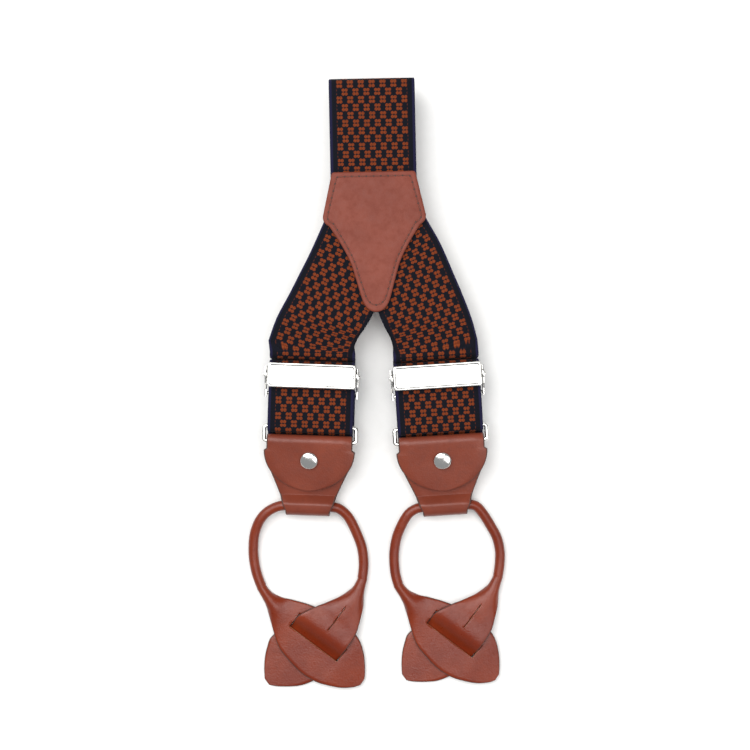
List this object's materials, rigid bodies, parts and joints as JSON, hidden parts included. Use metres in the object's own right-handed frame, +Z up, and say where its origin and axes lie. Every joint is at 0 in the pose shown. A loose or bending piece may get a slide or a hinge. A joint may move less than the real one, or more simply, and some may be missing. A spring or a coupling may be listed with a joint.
{
  "type": "suspenders",
  "caption": "Y-back webbing suspenders with a leather yoke, lever adjusters, wire rings and riveted leather ends on rolled button loops.",
  "frame": {"origin": "middle of the laid-flat outline, on the surface that the suspenders lie on", "axes": "+Y from the button loops towards the back strap, +Z up from the surface, +X to the right seen from above"},
  "size_m": [0.1064, 0.251, 0.0211],
  "materials": {
    "webbing": "navy jacquard webbing with a small rust motif",
    "leather": "reddish brown smooth leather, soft gloss",
    "nickel": "polished nickel plate",
    "thread": "dark brown stitching thread",
    "cord_core": "plain cotton cord"
  },
  "bodies": {
    "straps": {"yoke_front": "leather", "yoke_back": "leather", "yoke_stitching": "thread", "back_strap": "webbing", "left_front_strap": "webbing", "right_front_strap": "webbing", "left_return_strand": "webbing", "right_return_strand": "webbing"},
    "left_adjuster": {"left_adjuster_frame": "nickel", "left_adjuster_bar": "nickel", "left_cover_pin_outer": "nickel", "left_cover_pin_inner": "nickel"},
    "left_cover": {"left_adjuster_cover": "nickel"},
    "left_wire_ring": {"left_ring": "nickel"},
    "left_leather": {"left_leather_end": "leather", "left_rivet_cap": "nickel", "left_rivet_post": "nickel"},
    "left_loop": {"left_button_loop": "leather", "left_loop_core": "cord_core"},
    "right_adjuster": {"right_adjuster_frame": "nickel", "right_adjuster_bar": "nickel", "right_cover_pin_outer": "nickel", "right_cover_pin_inner": "nickel"},
    "right_cover": {"right_adjuster_cover": "nickel"},
    "right_wire_ring": {"right_ring": "nickel"},
    "right_leather": {"right_leather_end": "leather", "right_rivet_cap": "nickel", "right_rivet_post": "nickel"},
    "right_loop": {"right_button_loop": "leather", "right_loop_core": "cord_core"},
    "back_wire_ring": {"back_ring": "nickel"},
    "back_leather": {"back_leather_end": "leather", "back_rivet_cap": "nickel", "back_rivet_post": "nickel"},
    "back_loop": {"back_button_loop": "leather", "back_loop_core": "cord_core"}
  },
  "joints": [
    {"name": "left_adjuster_slide", "type": "slide", "parent": "straps", "child": "left_adjuster", "axis": [-0.0349, -0.9994, 0], "range_m": [0, 0.006], "deforming": ["left_return_strand"]},
    {"name": "left_cover_lift", "type": "hinge", "parent": "left_adjuster", "child": "left_cover", "pos_m": [-0.02652, 0.00384, 0.0171], "axis": [-0.9994, 0.0349, 0], "range_deg": [0, 18]},
    {"name": "left_ring_swing", "type": "hinge", "parent": "straps", "child": "left_wire_ring", "pos_m": [-0.02725, -0.01715, 0.01205], "axis": [-0.9994, 0.0349, 0], "range_deg": [0, 25]},
    {"name": "left_leather_swing", "type": "hinge", "parent": "left_wire_ring", "child": "left_leather", "pos_m": [-0.02746, -0.02315, 0.01205], "axis": [-0.9994, 0.0349, 0], "range_deg": [0, 45]},
    {"name": "left_loop_swing", "type": "hinge", "parent": "left_leather", "child": "left_loop", "pos_m": [-0.0284, -0.05007, 0.00552], "axis": [-0.9994, 0.0349, 0], "range_deg": [0, 60]},
    {"name": "right_adjuster_slide", "type": "slide", "parent": "straps", "child": "right_adjuster", "axis": [0.0645, -0.9979, 0], "range_m": [0, 0.006], "deforming": ["right_return_strand"]},
    {"name": "right_cover_lift", "type": "hinge", "parent": "right_adjuster", "child": "right_cover", "pos_m": [0.02469, 0.0038, 0.0171], "axis": [-0.9979, -0.0645, 0], "range_deg": [0, 18]},
    {"name": "right_ring_swing", "type": "hinge", "parent": "straps", "child": "right_wire_ring", "pos_m": [0.02605, -0.01715, 0.01205], "axis": [-0.9979, -0.0645, 0], "range_deg": [0, 25]},
    {"name": "right_leather_swing", "type": "hinge", "parent": "right_wire_ring", "child": "right_leather", "pos_m": [0.02643, -0.02314, 0.01205], "axis": [-0.9979, -0.0645, 0], "range_deg": [0, 45]},
    {"name": "right_loop_swing", "type": "hinge", "parent": "right_leather", "child": "right_loop", "pos_m": [0.02817, -0.05003, 0.00552], "axis": [-0.9979, -0.0645, 0], "range_deg": [0, 60]},
    {"name": "back_ring_swing", "type": "hinge", "parent": "straps", "child": "back_wire_ring", "pos_m": [-0.001, 0.07095, 0.0083], "axis": [0.9998, 0.0209, 0], "range_deg": [0, 8]},
    {"name": "back_leather_swing", "type": "hinge", "parent": "back_wire_ring", "child": "back_leather", "pos_m": [-0.00087, 0.06495, 0.0083], "axis": [0.9998, 0.0209, 0], "range_deg": [0, 4]},
    {"name": "back_loop_swing", "type": "hinge", "parent": "back_leather", "child": "back_loop", "pos_m": [-0.00029, 0.03726, 0.00715], "axis": [-0.9998, -0.0209, 0], "range_deg": [0, 60]}
  ]
}
